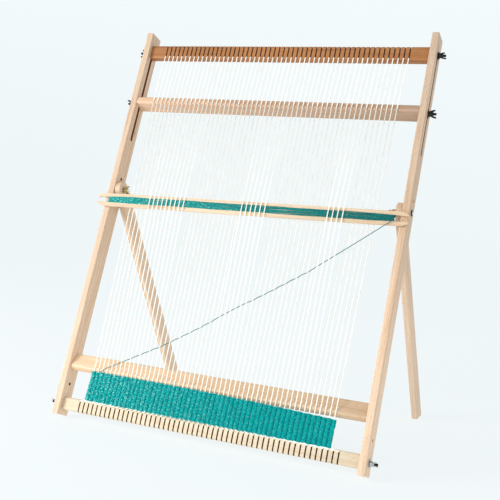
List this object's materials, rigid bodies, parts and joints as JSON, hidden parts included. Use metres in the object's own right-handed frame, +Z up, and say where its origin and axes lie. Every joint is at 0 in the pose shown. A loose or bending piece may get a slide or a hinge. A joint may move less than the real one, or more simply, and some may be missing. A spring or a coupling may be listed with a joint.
{
  "type": "tapestry frame loom",
  "caption": "Leaning wooden frame loom with notched beams, a sliding tension bar, prop legs, a cotton warp, a started teal weaving and a stick shuttle.",
  "frame": {"origin": "on the floor, under the middle of the object's box", "axes": "+X to the weaver's right along the beams, +Z up, -Y towards the weaver; the uprights lean 21 degrees towards +Y"},
  "size_m": [0.776, 0.554, 0.9169],
  "materials": {
    "upright_wood": "oiled light beech",
    "beam_wood": "oiled beech, rounded and sanded",
    "leg_wood": "oiled light beech",
    "shuttle_wood": "sanded beech",
    "black_steel": "black finish",
    "zinc": "zinc plated",
    "brass": "brass coloured",
    "cotton": "natural cotton twine",
    "yarn": "fuzzy wool yarn"
  },
  "bodies": {
    "frame": {"left_upright": "upright_wood", "right_upright": "upright_wood", "top_beam": "beam_wood", "bottom_beam": "upright_wood", "lower_crossbar": "beam_wood", "left_top_beam_bolt": "black_steel", "left_top_beam_washer": "black_steel", "left_bottom_beam_bolt": "black_steel", "left_bottom_beam_washer": "zinc", "left_leg_bolt": "zinc", "right_top_beam_bolt": "black_steel", "right_top_beam_washer": "black_steel", "right_bottom_beam_bolt": "black_steel", "right_bottom_beam_washer": "zinc", "right_leg_bolt": "zinc", "warp_thread": "cotton", "woven_band": "yarn", "yarn_tail": "yarn"},
    "left_leg_body": {"left_leg": "leg_wood", "left_leg_washer": "zinc"},
    "right_leg_body": {"right_leg": "leg_wood", "right_leg_washer": "zinc"},
    "tension_bar_carriage": {"left_tension_bar_washer": "brass", "right_tension_bar_washer": "brass"},
    "tension_bar_body": {"tension_bar": "beam_wood", "left_tension_bar_bolt": "black_steel", "right_tension_bar_bolt": "black_steel"},
    "shuttle": {"stick_shuttle": "shuttle_wood", "shuttle_yarn": "yarn"},
    "left_top_beam_nut": {"left_top_beam_wing_nut": "black_steel"},
    "left_tension_bar_nut": {"left_tension_bar_wing_nut": "black_steel"},
    "left_bottom_beam_nut": {"left_bottom_beam_wing_nut": "zinc"},
    "left_leg_nut": {"left_leg_wing_nut": "brass"},
    "right_top_beam_nut": {"right_top_beam_wing_nut": "black_steel"},
    "right_tension_bar_nut": {"right_tension_bar_wing_nut": "black_steel"},
    "right_bottom_beam_nut": {"right_bottom_beam_wing_nut": "zinc"},
    "right_leg_nut": {"right_leg_wing_nut": "brass"}
  },
  "joints": [
    {"name": "left_leg_fold", "type": "hinge", "parent": "frame", "child": "left_leg_body", "pos_m": [-0.3466, -0.05994, 0.52193], "axis": [1, 0, 0], "range_deg": [-46.5, 108]},
    {"name": "right_leg_fold", "type": "hinge", "parent": "frame", "child": "right_leg_body", "pos_m": [0.3466, -0.05994, 0.52193], "axis": [1, 0, 0], "range_deg": [-46.5, 108]},
    {"name": "tension_bar_slide", "type": "slide", "parent": "frame", "child": "tension_bar_carriage", "axis": [0, 0.3584, 0.9336], "range_m": [-0.093, 0.098], "deforming": ["warp_thread"]},
    {"name": "tension_bar_turn", "type": "hinge", "parent": "tension_bar_carriage", "child": "tension_bar_body", "pos_m": [0, 0.02177, 0.73479], "axis": [1, 0, 0], "continuous": true},
    {"name": "shuttle_draw", "type": "slide", "parent": "frame", "child": "shuttle", "axis": [1, 0, 0], "range_m": [0, 0.8], "deforming": ["yarn_tail"]},
    {"name": "left_top_beam_nut_turn", "type": "hinge", "parent": "frame", "child": "left_top_beam_nut", "pos_m": [-0.378, 0.07194, 0.86549], "axis": [1, 0, 0], "continuous": true},
    {"name": "left_tension_bar_nut_turn", "type": "hinge", "parent": "tension_bar_body", "child": "left_tension_bar_nut", "pos_m": [-0.378, 0.02177, 0.73479], "axis": [1, 0, 0], "continuous": true},
    {"name": "left_bottom_beam_nut_turn", "type": "hinge", "parent": "frame", "child": "left_bottom_beam_nut", "pos_m": [-0.378, -0.24772, 0.03273], "axis": [1, 0, 0], "continuous": true},
    {"name": "left_leg_nut_turn", "type": "hinge", "parent": "frame", "child": "left_leg_nut", "pos_m": [-0.331, -0.05994, 0.52193], "axis": [1, 0, 0], "continuous": true},
    {"name": "right_top_beam_nut_turn", "type": "hinge", "parent": "frame", "child": "right_top_beam_nut", "pos_m": [0.378, 0.07194, 0.86549], "axis": [1, 0, 0], "continuous": true},
    {"name": "right_tension_bar_nut_turn", "type": "hinge", "parent": "tension_bar_body", "child": "right_tension_bar_nut", "pos_m": [0.378, 0.02177, 0.73479], "axis": [1, 0, 0], "continuous": true},
    {"name": "right_bottom_beam_nut_turn", "type": "hinge", "parent": "frame", "child": "right_bottom_beam_nut", "pos_m": [0.378, -0.24772, 0.03273], "axis": [1, 0, 0], "continuous": true},
    {"name": "right_leg_nut_turn", "type": "hinge", "parent": "frame", "child": "right_leg_nut", "pos_m": [0.331, -0.05994, 0.52193], "axis": [1, 0, 0], "continuous": true}
  ]
}
